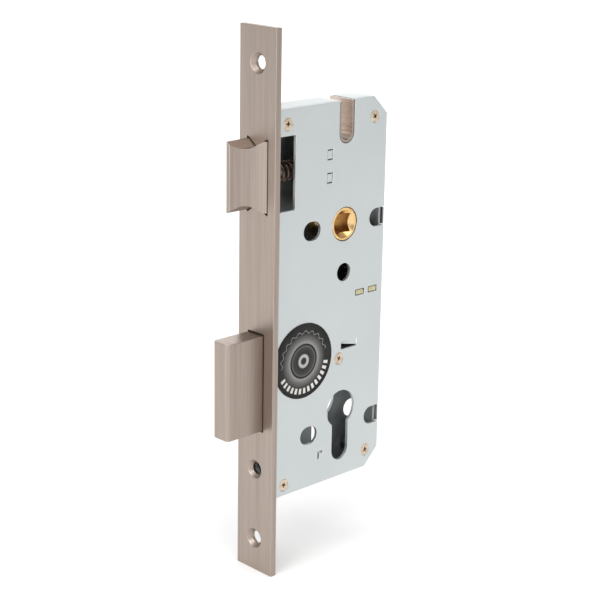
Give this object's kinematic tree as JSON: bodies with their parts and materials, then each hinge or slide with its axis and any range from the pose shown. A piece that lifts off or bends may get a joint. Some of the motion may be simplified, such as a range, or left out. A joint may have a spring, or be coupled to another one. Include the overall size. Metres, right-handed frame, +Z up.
{
  "type": "mortise lock",
  "caption": "Euro-profile mortise lock: narrow forend, slim steel case, sprung latch driven by a square-hole follower, and a deadbolt with forked tail.",
  "frame": {"origin": "on the forend's front face, level with the follower axis, on the middle plane of the case", "axes": "+X from the forend into the door, +Z up along the forend, -Y towards the screwed cover"},
  "size_m": [0.0895, 0.022, 0.24],
  "materials": {
    "satin_nickel": "warm satin nickel plate, brushed lengthways",
    "zinc_plate": "pale bright zinc plate",
    "plain_steel": "plain pressed steel, lightly oiled",
    "cast_brass": "cast brass, satin",
    "yellow_zinc": "yellow passivated zinc plate",
    "spring_steel": "drawn spring wire",
    "label_film": null
  },
  "bodies": {
    "root": {"forend": "satin_nickel", "case_tray": "zinc_plate", "case_cover": "zinc_plate", "cover_screw_1": "yellow_zinc", "cover_screw_2": "yellow_zinc", "cover_screw_3": "yellow_zinc", "cover_screw_4": "yellow_zinc", "cover_screw_5": "yellow_zinc", "cover_pillar_1": "plain_steel", "cover_pillar_2": "plain_steel", "cover_pillar_3": "plain_steel", "cover_pillar_4": "plain_steel", "cover_pillar_5": "plain_steel", "through_bolt_liner": "satin_nickel", "latch_guide_bracket": "zinc_plate", "follower_spring_bracket": "yellow_zinc", "tumbler_pivot_pin": "plain_steel", "round_label": "label_film", "latch_spring": "spring_steel", "follower_spring": "spring_steel", "tumbler_spring": "spring_steel"},
    "latch": {"latch_bolt": "satin_nickel", "latch_tail": "plain_steel", "latch_tail_pin": "spring_steel"},
    "follower": {"follower": "cast_brass"},
    "plunger": {"follower_plunger": "plain_steel"},
    "deadbolt": {"deadbolt_head": "satin_nickel", "deadbolt_tail": "plain_steel", "deadbolt_rivet_1": "plain_steel", "deadbolt_rivet_2": "plain_steel"},
    "tumbler": {"bolt_tumbler": "plain_steel"}
  },
  "joints": [
    {"name": "latch_slide", "type": "slide", "parent": "root", "child": "latch", "axis": [1, 0, 0], "range_m": [0, 0.012], "stiffness_N_per_m": 480, "springref_m": -0.015, "deforming": ["latch_spring"]},
    {"name": "follower_turn", "type": "hinge", "parent": "root", "child": "follower", "pos_m": [0.045, 0, 0], "axis": [0, 1, 0], "range_deg": [0, 38]},
    {"name": "plunger_slide", "type": "slide", "parent": "root", "child": "plunger", "axis": [0, 0, -1], "range_m": [0, 0.00801], "stiffness_N_per_m": 4, "springref_m": -0.015, "deforming": ["follower_spring"]},
    {"name": "bolt_slide", "type": "slide", "parent": "root", "child": "deadbolt", "axis": [1, 0, 0], "range_m": [0, 0.02]},
    {"name": "tumbler_turn", "type": "hinge", "parent": "root", "child": "tumbler", "pos_m": [0.057, 0, -0.04049], "axis": [0, 1, 0], "range_deg": [0, 9.1], "stiffness_Nm_per_rad": 0.02, "springref_deg": -17.19, "deforming": ["tumbler_spring"]}
  ],
  "couplings": [
    {"joint": "follower_turn", "follows": "latch_slide", "rad_per_m": 55.25},
    {"joint": "plunger_slide", "follows": "latch_slide", "ratio": 0.6672},
    {"joint": "tumbler_turn", "follows": "bolt_slide", "rad_per_m": 7.9}
  ]
}
